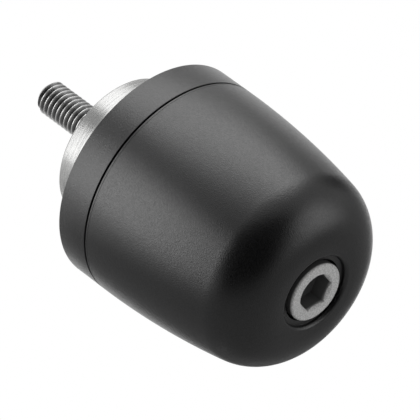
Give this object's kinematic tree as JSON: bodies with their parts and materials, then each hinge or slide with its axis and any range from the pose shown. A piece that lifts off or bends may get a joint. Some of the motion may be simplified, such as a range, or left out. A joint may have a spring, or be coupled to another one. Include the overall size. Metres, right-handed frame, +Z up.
{
  "type": "bar end weight",
  "caption": "Barrel-shaped handlebar end weight with a collar ring and a spacer sleeve, clamped by a socket head cap screw whose thread sticks out behind.",
  "frame": {"origin": "centre of the spacer's rear face, where the part seats on the end of the handlebar", "axes": "+X along the part's axis, out of the handlebar towards the nose; +Z up"},
  "size_m": [0.066, 0.04, 0.04],
  "materials": {
    "blasted_black": "black anodised over a bead-blasted surface, satin",
    "turned_black": "black anodised over a finely turned surface, satin",
    "bare_aluminium": "bare aluminium, finely turned",
    "stainless": "plain stainless steel, cold-forged head and rolled thread"
  },
  "bodies": {
    "root": {"weight_body": "blasted_black", "collar_ring": "turned_black", "spacer_sleeve": "bare_aluminium", "cap_screw": "stainless"}
  },
  "joints": []
}
